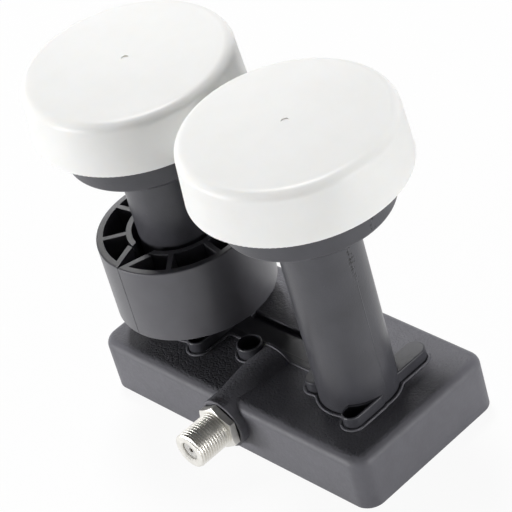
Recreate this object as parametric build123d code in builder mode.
"""Twin-feed satellite LNB: two waveguide feeds on one box, with a split clamp sleeve on the left neck.

Millimetres, +Z up. The origin is the middle of the underside of the box. X runs along the box from
the left feed to the right feed, and the cable socket points along -Y.
"""
import os

from build123d import *

os.makedirs("parts", exist_ok=True)

# Box
box_length = 92.4
box_width = 45.4
box_height = 15.4
box_corner = 4.5  # radius of the upright corners
box_edge = 2.6  # rounding of the top edge
box_chamfer = 0.3  # round the open edge below
cover_wall = 1.8
cover_fit = 0.3  # gap between the cover's wall and what it hangs over
base_thickness = 2.2
base_seal_thickness = 1.0

# Feeds
feed_spacing = 54.1
feed_forward = 2.0  # both feeds stand this far in front of the box's middle
guide_radius = 8.75  # bore of the round waveguide
neck_wall = 1.2
neck_rise = 55.8  # from the top of the cover to the underside of the horn
horn_inset = 5.9  # the horn's side lies this far inside the cap's lower edge
horn_skirt = 9.1  # height of horn that shows below the cap
horn_edge = 0.8
neck_head = 1.2  # rounding where a neck meets its horn
horn_wall = 1.8
horn_floor = 2.0
choke_width = 2.7  # gap between the waveguide's mouth and the middle ring
ring_wall = 1.5
ring_step = 4.0  # each choke ring stands this much lower than the one outside it
rim_wall = 2.4
rim_lift = 1.7  # underside of the rim above the cap's lower edge

# Caps
cap_gap = 0.5  # the two caps nearly touch
cap_draft = 0.8  # the side leans in by this much from bottom to top
cap_side = 14.3
cap_crown = 0.7
cap_edge = 2.5
cap_foot = 0.4  # rounding of the lower edge
cap_wall = 1.5
cap_ledge_drop = 1.1  # ledge that rests on the horn's rim, below the inside of the top
cap_ledge_width = 1.4
cap_fit = 0.25
gate_radius = 0.9  # dimple left by the moulding gate
gate_depth = 0.25
seal_radius = 0.8  # section of the rubber rings
seal_height = 6.2  # above the cap's lower edge
seal_fit = 0.05

# Foot of the casting, which shows through the cover
foot_rise = 3.3  # tabs and bosses above the cover
web_rise = 0.2  # the web between the necks above the cover
foot_flare = 0.1  # ring of foot round each neck
foot_blend = 1.0  # radius of the inward corners of its outline
foot_edge = 0.4
foot_gap = 0.1  # between the foot and the cover's opening
lip_width = 0.8
lip_height = 0.45
lip_edge = 0.3
web_front = 1.6  # the web's front edge, in front of the feeds' axes
web_rear = 5.2  # the web's rear edge, behind the feeds' axes
trough_width = 2.0  # sunk strip behind the web
trough_inset = 11.05  # from a feed's axis to the end of the strip
trough_depth = 0.9
rear_tab_x = 5.2
rear_tab_reach = 17.5
rear_tab_width = 5.7
front_tab_x = 7.6
front_tab_reach = 12.4
front_tab_width = 5.2
side_boss_x = -9.2
side_boss_y = -4.9
side_boss_radius = 2.8
web_boss_x = -6.0
web_boss_y = -4.4
web_boss_radius = 3.3
pocket_wall = 0.5
pocket_depth = 3.6

# Tray of the casting, board and lid
tray_wall = 2.2
tray_plate = 2.2
bay_corner = 2.0
post_radius = 3.0
post_inset = 2.5  # post centres from the walls of the bay
board_ledge = 0.9
board_ledge_width = 1.6
board_thickness = 0.8
bay_fit = 0.3
gasket_thickness = 0.6
lid_plate = 1.6
lid_rim = 1.2
lid_rim_width = 1.6
well_wall = 1.4
well_depth = 3.0
well_floor = 1.3
lid_screw_radius = 1.0
lid_screw_head_radius = 1.9
lid_screw_head = 1.3
lid_screw_bite = 1.2  # into the tray's plate
lid_screw_boss = 2.6
lid_screw_edge = 2.8  # from the lid's long edges to its screws
lid_screw_clearance = 0.4  # from the wells and the posts
screw_fit = 0.1
puck_radius = 2.7
puck_height = 1.5
puck_x = 8.5
tuner_radius = 2.0
tuner_length = 2.6
pad_length = 20.0
pad_width = 8.0
pad_thickness = 0.9
pad_gap = 3.0  # from the lid's rim
component_gap = 1.5

# Screws that hold the base
base_screw_radius = 1.5
base_screw_head_radius = 2.8
base_screw_head = 1.2
base_screw_length = 7.0
base_screw_sink = 0.1  # heads lie this far inside the underside
cross_length = 3.0
cross_width = 0.7
cross_depth = 0.6

# Cable socket, a 3/8-32 thread
thread_radius = 9.525 / 2
thread_length = 9.5
thread_chamfer = 0.5
hex_flats = 11.0
hex_thickness = 1.9
hex_chamfer = 0.35
washer_radius = 5.3
washer_thickness = 0.7
shank_radius = 3.2
socket_bore = 2.5
socket_fit = 0.05
insulator_recess = 0.7
contact_radius = 0.6
contact_recess = 2.2
contact_tail = 3.4  # length soldered along the board
contact_slot = 3.2  # width of the way through the lid's rim
boss_radius = 6.8
boss_reach = 2.2  # in front of the box
boss_edge = 0.2
boss_bore = 4.9
seat_radius = 6.1  # sunk ring in the boss, where the washer lies
seat_depth = 0.5
ridge_rise = 2.3  # the ridge behind the boss climbs this much to the web
block_width = 13.0
block_depth = 4.0

# Clamp sleeve
collar_radius = 20.6
collar_height = 21.2
collar_lift = 9.3  # above the top of the cover
collar_wall = 1.75
sleeve_gap = 1.6  # between the neck and the inner wall
sleeve_wall = 1.4
rib_thickness = 1.3
rib_cells = 9  # the slit takes the place of one rib
slit_mouth = 3.2  # half the slit's width at the inner wall
slit_tip = 0.08  # half its width at the outer wall
slit_arm = 1.5
grip_height = 4.0
grip_fit = 0.1
collar_edge = 0.35

# Places that follow from the sizes above
feed_y = -feed_forward
feed_points = [(-feed_spacing / 2, feed_y), (feed_spacing / 2, feed_y)]
neck_radius = guide_radius + neck_wall
cap_radius = (feed_spacing - cap_gap) / 2
horn_radius = cap_radius - horn_inset
horn_base = box_height + neck_rise
cap_base = horn_base + horn_skirt
cap_top = cap_base + cap_side
ledge_z = cap_top - cap_wall - cap_ledge_drop
seal_z = cap_base + seal_height
rim_base = cap_base + rim_lift
foot_top = box_height + foot_rise
web_top = box_height + web_rise
web_front_y = feed_y - web_front
web_rear_y = feed_y + web_rear
trough_length = feed_spacing - 2 * trough_inset
trough_floor = box_height - trough_depth

tray_bottom = base_thickness + base_seal_thickness
tray_top = box_height - cover_wall
plate_z = tray_top - tray_plate
board_top = plate_z - board_ledge
board_bottom = board_top - board_thickness
lid_top = board_bottom - gasket_thickness
lid_face = lid_top - lid_rim
lid_bottom = lid_face - lid_plate
well_floor_z = lid_face - well_depth
tray_length = box_length - 2 * (cover_wall + cover_fit)
tray_width = box_width - 2 * (cover_wall + cover_fit)
tray_corner = box_corner - cover_wall
bay_length = tray_length - 2 * tray_wall
bay_width = tray_width - 2 * tray_wall
post_span_x = bay_length - 2 * post_inset
post_span_y = bay_width - 2 * post_inset
well_radius = guide_radius + well_wall
lid_screw_y = bay_width / 2 - bay_fit - lid_screw_edge
inner_screw_x = feed_spacing / 2 - well_radius - lid_screw_head_radius - lid_screw_clearance
outer_screw_x = post_span_x / 2 - post_radius - bay_fit - lid_screw_boss - lid_screw_clearance
lid_screw_points = [
    (side * x, end * lid_screw_y)
    for x in (inner_screw_x, outer_screw_x)
    for side in (-1, 1)
    for end in (-1, 1)
]
pad_y = bay_width / 2 - bay_fit - lid_rim_width - pad_gap - pad_width / 2
tuner_points = [(-puck_x, feed_y), (puck_x, feed_y)]

socket_z = board_bottom - contact_radius
box_front = -box_width / 2
tray_front = -tray_width / 2
bay_front = -bay_width / 2
boss_front = box_front - boss_reach
seat_y = boss_front + seat_depth
hex_back = seat_y - washer_thickness
hex_front = hex_back - hex_thickness
socket_end = hex_front - thread_length
block_end = bay_front + block_depth

collar_base = box_height + collar_lift
sleeve_inner = neck_radius + sleeve_gap
sleeve_outer = sleeve_inner + sleeve_wall
collar_inner = collar_radius - collar_wall


def cap_inner_radius(z):
    """Radius of the cap's inside wall at a height."""
    return cap_radius - cap_wall - cap_draft * (z - cap_base) / cap_side


rim_radius = cap_inner_radius(ledge_z) - cap_fit
seal_center = cap_inner_radius(seal_z) - seal_radius - seal_fit
seal_groove = seal_center - seal_radius - seal_fit


def feed_section(x):
    """Upright plane through a feed's axis: local x is the radius, local y is the height."""
    return Plane(origin=(x, feed_y, 0), x_dir=(1, 0, 0), z_dir=(0, -1, 0))


def socket_plane(y, lift=0):
    """Plane across the socket's axis or a lift above it, facing the cable."""
    return Plane(origin=(0, y, socket_z + lift), x_dir=(1, 0, 0), z_dir=(0, -1, 0))


def circle_edges(part, radius, axis, place):
    """The part's round edges of one radius, at one place along an axis."""
    near = 0.01
    rings = part.edges().filter_by(GeomType.CIRCLE).filter_by_position(axis, place - near, place + near)
    return rings.filter_by(lambda edge: abs(edge.radius - radius) < near)


def raised_outline():
    """Plan of the tabs and bosses that stand up from the foot."""
    with BuildSketch(mode=Mode.PRIVATE) as outline:
        for x, y in feed_points:
            with Locations((x + rear_tab_x, y + rear_tab_reach / 2)):
                SlotOverall(rear_tab_reach, rear_tab_width, rotation=90)
            with Locations((x + front_tab_x, y - front_tab_reach / 2)):
                SlotOverall(front_tab_reach, front_tab_width, rotation=90)
            with Locations((x + side_boss_x, y + side_boss_y)):
                Circle(side_boss_radius)
        with Locations((web_boss_x, feed_y + web_boss_y)):
            Circle(web_boss_radius)
    return outline.sketch


def foot_outline(margin):
    """Plan of the casting's foot: necks, tabs, bosses and the web, grown by a margin."""
    with BuildSketch(mode=Mode.PRIVATE) as outline:
        add(raised_outline())
        with Locations(*feed_points):
            Circle(neck_radius + foot_flare)
        with Locations((0, (web_front_y + web_rear_y) / 2)):
            Rectangle(feed_spacing, web_rear + web_front)
        offset(amount=margin + foot_blend)
        offset(amount=-foot_blend)
    return outline.sketch


def pocket_outline():
    """Plan of the pockets in the web's boss and the front tabs, clear of the necks."""
    with BuildSketch(mode=Mode.PRIVATE) as outline:
        with Locations((web_boss_x, feed_y + web_boss_y)):
            Circle(web_boss_radius - pocket_wall)
        tab_length = front_tab_reach - 2 * pocket_wall
        tab_width = front_tab_width - 2 * pocket_wall
        for x, y in feed_points:
            with Locations((x + front_tab_x, y - front_tab_reach / 2)):
                SlotOverall(tab_length, tab_width, rotation=90)
            with Locations((x, y)):
                Circle(neck_radius + pocket_wall, mode=Mode.SUBTRACT)
    return outline.sketch


def opening_outline(lip):
    """Plan of the cover's opening round the foot and the sunk strip, grown by its lip."""
    with BuildSketch(mode=Mode.PRIVATE) as outline:
        add(foot_outline(foot_gap + lip))
        with Locations((0, web_rear_y + trough_width / 2)):
            Rectangle(trough_length + 2 * lip, trough_width + 2 * lip)
    return outline.sketch


def bay_outline(inset):
    """Plan of what lies in the tray: clear of its walls, its corner posts and the socket's block."""
    with BuildSketch(mode=Mode.PRIVATE) as outline:
        gap = bay_fit + inset
        RectangleRounded(bay_length - 2 * gap, bay_width - 2 * gap, bay_corner)
        with GridLocations(post_span_x, post_span_y, 2, 2):
            Circle(post_radius + gap, mode=Mode.SUBTRACT)
        with Locations((0, bay_front)):
            Rectangle(block_width + 2 * gap, 2 * (block_depth + gap), mode=Mode.SUBTRACT)
    return outline.sketch


def rim_outline():
    """Plan of the lid's rim: a band along its edge, open for the contact, and a rib across each well."""
    with BuildSketch(mode=Mode.PRIVATE) as outline:
        add(bay_outline(0))
        add(bay_outline(lid_rim_width), mode=Mode.SUBTRACT)
        with Locations((0, block_end)):
            Rectangle(contact_slot, 2 * contact_tail, mode=Mode.SUBTRACT)
        for x, y in feed_points:
            with Locations((x, y)):
                Circle(well_radius)
            with Locations((x, 0)):
                Rectangle(lid_rim_width, bay_width - 2 * bay_fit)
        with Locations(*lid_screw_points):
            Circle(lid_screw_boss)
    return outline.sketch


def slit_half_width(radius):
    """Half the width of the sleeve's slit at a distance from the axis."""
    share = (collar_radius - radius) / (collar_radius - sleeve_inner)
    return slit_tip + (slit_mouth - slit_tip) * share


def slit_wedge(inner, outer, margin):
    """Plan of the V-shaped slit between two radii, grown sideways by a margin."""
    wide = slit_half_width(inner) + margin
    narrow = slit_half_width(outer) + margin
    with BuildSketch(mode=Mode.PRIVATE) as wedge:
        with BuildLine():
            Polyline((-wide, -inner), (wide, -inner), (narrow, -outer), (-narrow, -outer), close=True)
        make_face()
    return wedge.sketch


# Cover: a moulded box, open below, with the socket's ridge and a lipped opening
with BuildPart() as opening_lip:
    with BuildSketch(Plane.XY.offset(tray_top)):
        add(opening_outline(lip_width))
        add(opening_outline(0), mode=Mode.SUBTRACT)
    extrude(amount=cover_wall + lip_height)
    fillet(opening_lip.faces().sort_by(Axis.Z)[-1].edges(), radius=lip_edge)

with BuildPart() as top_cover:
    with BuildSketch():
        RectangleRounded(box_length, box_width, box_corner)
    extrude(amount=box_height)
    fillet(top_cover.faces().sort_by(Axis.Z)[-1].edges(), radius=box_edge)
    chamfer(top_cover.faces().sort_by(Axis.Z)[0].edges(), length=box_chamfer)
    with BuildSketch(socket_plane(box_front)):
        Circle(boss_radius)
    with BuildSketch(socket_plane(web_front_y, ridge_rise)):
        Circle(boss_radius)
    loft()
    with BuildSketch(socket_plane(box_front)):
        Circle(boss_radius)
    extrude(amount=boss_reach)
    fillet(circle_edges(top_cover.part, boss_radius, Axis.Y, boss_front), radius=boss_edge)
    with BuildSketch(socket_plane(web_front_y, ridge_rise)):
        Circle(boss_radius + lip_height)
    extrude(amount=foot_gap + lip_width)
    add(opening_lip.part)
    with BuildSketch():
        RectangleRounded(
            box_length - 2 * cover_wall, box_width - 2 * cover_wall, box_corner - cover_wall
        )
    extrude(amount=tray_top, mode=Mode.SUBTRACT)
    with BuildSketch(Plane.XY.offset(tray_top)):
        add(opening_outline(0))
    extrude(amount=foot_top - tray_top, mode=Mode.SUBTRACT)
    with BuildSketch(socket_plane(tray_front)):
        Circle(boss_bore)
    extrude(amount=tray_front - boss_front, mode=Mode.SUBTRACT)
    with BuildSketch(socket_plane(seat_y)):
        Circle(seat_radius)
    extrude(amount=seat_depth, mode=Mode.SUBTRACT)
top_cover.part.label = "top_cover"
export_step(top_cover.part, "parts/top_cover.step")

# Casting: tray, foot, necks and horns in one piece
with BuildPart() as foot_tabs:
    with BuildSketch(Plane.XY.offset(web_top)):
        add(raised_outline())
    extrude(amount=foot_top - web_top)
    fillet(foot_tabs.faces().group_by(Axis.Z)[-1].edges(), radius=foot_edge)

with BuildPart() as feed_casting:
    with BuildSketch(Plane.XY.offset(tray_bottom)):
        RectangleRounded(tray_length, tray_width, tray_corner)
    extrude(amount=tray_top - tray_bottom)
    with BuildSketch(Plane.XY.offset(tray_bottom)):
        RectangleRounded(bay_length, bay_width, bay_corner)
    extrude(amount=board_top - tray_bottom, mode=Mode.SUBTRACT)
    with BuildSketch(Plane.XY.offset(board_top)):
        RectangleRounded(
            bay_length - 2 * board_ledge_width, bay_width - 2 * board_ledge_width, bay_corner / 2
        )
        with Locations(*feed_points):
            Circle(well_radius, mode=Mode.SUBTRACT)
        with Locations(*lid_screw_points):
            Circle(lid_screw_boss, mode=Mode.SUBTRACT)
    extrude(amount=board_ledge, mode=Mode.SUBTRACT)
    with BuildSketch(Plane.XY.offset(tray_bottom)):
        with GridLocations(post_span_x, post_span_y, 2, 2):
            Circle(post_radius)
        with Locations((0, bay_front + block_depth / 2)):
            Rectangle(block_width, block_depth)
    extrude(amount=plate_z - tray_bottom)
    with BuildSketch(Plane.XY.offset(tray_top)):
        add(foot_outline(0))
    extrude(amount=web_top - tray_top)
    add(foot_tabs.part)
    with BuildSketch(Plane.XY.offset(tray_top)):
        with Locations((0, web_rear_y + (trough_width - foot_gap) / 2)):
            Rectangle(trough_length - 2 * foot_gap, trough_width - foot_gap)
    extrude(amount=trough_floor - tray_top)
    with BuildSketch(Plane.XY.offset(foot_top)):
        add(pocket_outline())
    extrude(amount=-pocket_depth, mode=Mode.SUBTRACT)
    for x, y in feed_points:
        feed_axis = Axis((x, y, 0), (0, 0, 1))
        with BuildSketch(feed_section(x)):
            with BuildLine():
                Polyline(
                    (0, plate_z),
                    (neck_radius, plate_z),
                    (neck_radius, horn_base),
                    (horn_radius, horn_base),
                    (horn_radius, rim_base),
                    (rim_radius, rim_base),
                    (rim_radius, ledge_z),
                    (0, ledge_z),
                    close=True,
                )
            make_face()
        revolve(axis=feed_axis)
        fillet(circle_edges(feed_casting.part, neck_radius, Axis.Z, horn_base), radius=neck_head)
        fillet(circle_edges(feed_casting.part, horn_radius, Axis.Z, horn_base), radius=horn_edge)
        # Each choke is a radius inside, a radius outside and the height of its floor
        middle_ring = neck_radius + choke_width + ring_wall
        chokes = [
            (horn_radius, rim_radius - rim_wall, rim_base + horn_floor),
            (middle_ring, horn_radius - horn_wall, horn_base + horn_floor),
            (neck_radius, neck_radius + choke_width, horn_base + horn_floor),
        ]
        ring_tops = [(horn_radius, 1), (middle_ring, 2), (neck_radius, 3)]
        with BuildSketch(feed_section(x)):
            for inner, outer, floor in chokes:
                with Locations(((inner + outer) / 2, (floor + ledge_z) / 2)):
                    Rectangle(outer - inner, ledge_z - floor)
            for outer, steps in ring_tops:
                with Locations((outer / 2, ledge_z - steps * ring_step / 2)):
                    Rectangle(outer, steps * ring_step)
            with Locations((guide_radius / 2, (tray_bottom + ledge_z) / 2)):
                Rectangle(guide_radius, ledge_z - tray_bottom)
            with Locations(((seal_groove + rim_radius) / 2, seal_z)):
                Rectangle(rim_radius - seal_groove, 2 * (seal_radius + seal_fit))
        revolve(axis=feed_axis, mode=Mode.SUBTRACT)
    with BuildSketch(Plane.XY.offset(tray_bottom)):
        with GridLocations(post_span_x, post_span_y, 2, 2):
            Circle(base_screw_radius + screw_fit)
    extrude(amount=base_screw_length, mode=Mode.SUBTRACT)
    with BuildSketch(Plane.XY.offset(board_top)):
        with Locations(*lid_screw_points):
            Circle(lid_screw_radius + screw_fit)
    extrude(amount=board_ledge + lid_screw_bite + screw_fit, mode=Mode.SUBTRACT)
    with BuildSketch(socket_plane(block_end)):
        Circle(shank_radius + socket_fit)
    extrude(amount=block_end - tray_front, mode=Mode.SUBTRACT)
feed_casting.part.label = "feed_casting"
export_step(feed_casting.part, "parts/feed_casting.step")

# Caps and their rubber rings
for side, (x, y) in zip(("left", "right"), feed_points):
    feed_axis = Axis((x, y, 0), (0, 0, 1))
    with BuildPart() as cap:
        with BuildSketch(feed_section(x)) as cap_profile:
            with BuildLine():
                Line((0, cap_top + cap_crown), (0, cap_base))
                Line((0, cap_base), (cap_radius, cap_base))
                Line((cap_radius, cap_base), (cap_radius - cap_draft, cap_top))
                TangentArc(
                    (0, cap_top + cap_crown), (cap_radius - cap_draft, cap_top), tangent=(1, 0)
                )
            make_face()
            top_corner = cap_profile.vertices().group_by(Axis.X)[-2]
            fillet(top_corner, radius=cap_edge)
            foot_corner = cap_profile.vertices().group_by(Axis.X)[-1]
            fillet(foot_corner, radius=cap_foot)
        revolve(axis=feed_axis)
        ledge_radius = cap_inner_radius(ledge_z) - cap_ledge_width
        with BuildSketch(feed_section(x)):
            with BuildLine():
                Polyline(
                    (0, cap_top + cap_crown - cap_wall),
                    (0, cap_base),
                    (cap_inner_radius(cap_base), cap_base),
                    (cap_inner_radius(ledge_z), ledge_z),
                    (ledge_radius, ledge_z),
                    (ledge_radius, cap_top - cap_wall),
                )
                TangentArc(
                    (0, cap_top + cap_crown - cap_wall),
                    (ledge_radius, cap_top - cap_wall),
                    tangent=(1, 0),
                )
            make_face()
        revolve(axis=feed_axis, mode=Mode.SUBTRACT)
        with BuildSketch(Plane((x, y, cap_top + cap_crown))):
            Circle(gate_radius)
        extrude(amount=-gate_depth, mode=Mode.SUBTRACT)
    cap.part.label = f"{side}_cap"
    export_step(cap.part, f"parts/{side}_cap.step")

    with BuildPart() as cap_seal:
        with BuildSketch(feed_section(x)):
            with Locations((seal_center, seal_z)):
                Circle(seal_radius)
        revolve(axis=feed_axis)
    cap_seal.part.label = f"{side}_cap_seal"
    export_step(cap_seal.part, f"parts/{side}_cap_seal.step")

# Clamp sleeve: two walls, eight ribs and a V-shaped slit towards the socket's side
rib_pitch = 360 / rib_cells
rib_middle = (sleeve_outer + collar_inner) / 2
with BuildPart() as clamp_collar:
    collar_plane = Plane((*feed_points[0], collar_base))
    with BuildSketch(collar_plane):
        Circle(collar_radius)
        Circle(collar_inner, mode=Mode.SUBTRACT)
        with PolarLocations(
            rib_middle, rib_cells - 1, start_angle=rib_pitch - 90, angular_range=360 - 2 * rib_pitch,
            endpoint=True,
        ):
            Rectangle(collar_inner - sleeve_outer + sleeve_wall, rib_thickness)
        add(slit_wedge(sleeve_outer, collar_inner + collar_wall / 2, slit_arm))
        Circle(sleeve_outer)
        Circle(sleeve_inner, mode=Mode.SUBTRACT)
        add(slit_wedge(neck_radius, collar_radius, 0), mode=Mode.SUBTRACT)
    extrude(amount=collar_height)
    with BuildSketch(collar_plane):
        Circle(sleeve_inner + sleeve_wall / 2)
        Circle(neck_radius + grip_fit, mode=Mode.SUBTRACT)
        add(slit_wedge(neck_radius / 2, collar_radius, 0), mode=Mode.SUBTRACT)
    extrude(amount=grip_height)
    for end in (collar_base, collar_base + collar_height):
        fillet(circle_edges(clamp_collar.part, collar_radius, Axis.Z, end), radius=collar_edge)
clamp_collar.part.label = "clamp_collar"
export_step(clamp_collar.part, "parts/clamp_collar.step")

# Base plate, its seal and its screws
with BuildPart() as bottom_cover:
    with BuildSketch():
        RectangleRounded(tray_length, tray_width, tray_corner)
    extrude(amount=base_thickness)
    with BuildSketch():
        with GridLocations(post_span_x, post_span_y, 2, 2):
            Circle(base_screw_radius + screw_fit)
    extrude(amount=base_thickness, mode=Mode.SUBTRACT)
    with BuildSketch():
        with GridLocations(post_span_x, post_span_y, 2, 2):
            Circle(base_screw_head_radius + screw_fit)
    extrude(amount=base_screw_sink + base_screw_head, mode=Mode.SUBTRACT)
bottom_cover.part.label = "bottom_cover"
export_step(bottom_cover.part, "parts/bottom_cover.step")

with BuildPart() as base_seal:
    with BuildSketch(Plane.XY.offset(base_thickness)):
        RectangleRounded(tray_length, tray_width, tray_corner)
        RectangleRounded(bay_length, bay_width, bay_corner, mode=Mode.SUBTRACT)
    extrude(amount=base_seal_thickness)
base_seal.part.label = "base_seal"
export_step(base_seal.part, "parts/base_seal.step")

with BuildPart() as cover_screws:
    with BuildSketch(Plane.XY.offset(base_screw_sink)):
        with GridLocations(post_span_x, post_span_y, 2, 2):
            Circle(base_screw_head_radius)
    extrude(amount=base_screw_head)
    with BuildSketch(Plane.XY.offset(base_screw_sink + base_screw_head)):
        with GridLocations(post_span_x, post_span_y, 2, 2):
            Circle(base_screw_radius)
    extrude(amount=base_screw_length)
    with BuildSketch(Plane.XY.offset(base_screw_sink)):
        with GridLocations(post_span_x, post_span_y, 2, 2):
            Rectangle(cross_length, cross_width)
            Rectangle(cross_width, cross_length)
    extrude(amount=cross_depth, mode=Mode.SUBTRACT)
cover_screws.part.label = "cover_screws"
export_step(cover_screws.part, "parts/cover_screws.step")

# Circuit board with what is soldered on its underside
with BuildPart() as circuit_board:
    with BuildSketch(Plane.XY.offset(board_bottom)):
        add(bay_outline(0))
        with Locations(*lid_screw_points):
            Circle(lid_screw_radius + screw_fit, mode=Mode.SUBTRACT)
    extrude(amount=board_thickness)
circuit_board.part.label = "circuit_board"
export_step(circuit_board.part, "parts/circuit_board.step")

with BuildPart() as resonator_pucks:
    with BuildSketch(Plane.XY.offset(board_bottom)):
        with Locations(*tuner_points):
            Circle(puck_radius)
    extrude(amount=-puck_height)
resonator_pucks.part.label = "resonator_pucks"
export_step(resonator_pucks.part, "parts/resonator_pucks.step")

# Each component is its place on the board and its length, width and height
row_y = block_end + contact_tail + component_gap
edge_x = inner_screw_x - lid_screw_boss - component_gap
components = [(0, row_y + 2.0, 4.0, 4.0, 0.9), (0, 2.6, 3.2, 1.6, 1.0)]
for side in (-1, 1):
    components.append((edge_x / 2 * side, row_y, 3.0, 1.6, 0.9))
    components.append((edge_x * side, row_y, 2.2, 1.4, 0.8))
    components.append((edge_x * side, 4.5, 2.2, 1.4, 0.8))
with BuildPart() as board_parts:
    for x, y, length, width, height in components:
        with BuildSketch(Plane.XY.offset(board_bottom)):
            with Locations((x, y)):
                Rectangle(length, width)
        extrude(amount=-height)
board_parts.part.label = "board_parts"
export_step(board_parts.part, "parts/board_parts.step")

# Screening lid with a closed well behind each waveguide, its gasket, pad and screws
with BuildPart() as screen_lid:
    with BuildSketch(Plane.XY.offset(lid_bottom)):
        add(bay_outline(0))
    extrude(amount=lid_plate)
    with BuildSketch(Plane.XY.offset(lid_face)):
        add(rim_outline())
    extrude(amount=lid_rim)
    with BuildSketch(Plane.XY.offset(well_floor_z - well_floor)):
        with Locations(*feed_points):
            Circle(well_radius)
    extrude(amount=lid_bottom - well_floor_z + well_floor)
    with BuildSketch(Plane.XY.offset(well_floor_z)):
        with Locations(*feed_points):
            Circle(guide_radius)
    extrude(amount=lid_top - well_floor_z, mode=Mode.SUBTRACT)
    with BuildSketch(Plane.XY.offset(lid_bottom)):
        with Locations(*lid_screw_points):
            Circle(lid_screw_radius + screw_fit)
        with Locations(*tuner_points):
            Circle(tuner_radius + screw_fit)
    extrude(amount=lid_top - lid_bottom, mode=Mode.SUBTRACT)
screen_lid.part.label = "screen_lid"
export_step(screen_lid.part, "parts/screen_lid.step")

with BuildPart() as lid_gasket:
    with BuildSketch(Plane.XY.offset(lid_top)):
        add(rim_outline())
        with Locations(*feed_points):
            Circle(guide_radius, mode=Mode.SUBTRACT)
        with Locations(*lid_screw_points):
            Circle(lid_screw_radius + screw_fit, mode=Mode.SUBTRACT)
    extrude(amount=gasket_thickness)
lid_gasket.part.label = "lid_gasket"
export_step(lid_gasket.part, "parts/lid_gasket.step")

with BuildPart() as absorber_pad:
    with BuildSketch(Plane.XY.offset(lid_face)):
        with Locations((0, pad_y)):
            Rectangle(pad_length, pad_width)
    extrude(amount=pad_thickness)
absorber_pad.part.label = "absorber_pad"
export_step(absorber_pad.part, "parts/absorber_pad.step")

with BuildPart() as lid_screws:
    with BuildSketch(Plane.XY.offset(lid_bottom)):
        with Locations(*lid_screw_points):
            Circle(lid_screw_head_radius)
    extrude(amount=-lid_screw_head)
    with BuildSketch(Plane.XY.offset(lid_bottom)):
        with Locations(*lid_screw_points):
            Circle(lid_screw_radius)
    extrude(amount=plate_z + lid_screw_bite - lid_bottom)
lid_screws.part.label = "lid_screws"
export_step(lid_screws.part, "parts/lid_screws.step")

with BuildPart() as tuning_screws:
    with BuildSketch(Plane.XY.offset(lid_face)):
        with Locations(*tuner_points):
            Circle(tuner_radius)
    extrude(amount=-tuner_length)
tuning_screws.part.label = "tuning_screws"
export_step(tuning_screws.part, "parts/tuning_screws.step")

# Cable socket: hexagon, threaded barrel and shank, with its insulator, contact, washer and seal
with BuildPart() as connector_body:
    with BuildSketch(socket_plane(block_end)):
        Circle(shank_radius)
    extrude(amount=block_end - hex_back)
    with BuildSketch(socket_plane(hex_back)):
        RegularPolygon(hex_flats / 2, 6, major_radius=False, rotation=30)
    extrude(amount=hex_thickness)
    hex_rim = connector_body.faces().sort_by(Axis.Y)[0].edges()
    chamfer(hex_rim, length=hex_chamfer)
    with BuildSketch(socket_plane(hex_front)):
        Circle(thread_radius)
    extrude(amount=thread_length)
    end_rim = connector_body.faces().sort_by(Axis.Y)[0].edges()
    chamfer(end_rim, length=thread_chamfer)
    with BuildSketch(socket_plane(block_end)):
        Circle(socket_bore)
    extrude(amount=block_end - socket_end, mode=Mode.SUBTRACT)
connector_body.part.label = "connector_body"
export_step(connector_body.part, "parts/connector_body.step")

with BuildPart() as connector_insulator:
    with BuildSketch(socket_plane(block_end)):
        Circle(socket_bore - socket_fit)
        Circle(contact_radius + socket_fit, mode=Mode.SUBTRACT)
    extrude(amount=block_end - socket_end - insulator_recess)
connector_insulator.part.label = "connector_insulator"
export_step(connector_insulator.part, "parts/connector_insulator.step")

with BuildPart() as connector_contact:
    with BuildSketch(socket_plane(block_end + contact_tail)):
        Circle(contact_radius)
    extrude(amount=block_end + contact_tail - socket_end - contact_recess)
connector_contact.part.label = "connector_contact"
export_step(connector_contact.part, "parts/connector_contact.step")

with BuildPart() as connector_washer:
    with BuildSketch(socket_plane(seat_y)):
        Circle(washer_radius)
        Circle(shank_radius + socket_fit, mode=Mode.SUBTRACT)
    extrude(amount=washer_thickness)
connector_washer.part.label = "connector_washer"
export_step(connector_washer.part, "parts/connector_washer.step")

with BuildPart() as connector_seal:
    with BuildSketch(socket_plane(tray_front)):
        Circle(boss_bore - socket_fit)
        Circle(shank_radius + socket_fit, mode=Mode.SUBTRACT)
    extrude(amount=tray_front - seat_y)
connector_seal.part.label = "connector_seal"
export_step(connector_seal.part, "parts/connector_seal.step")
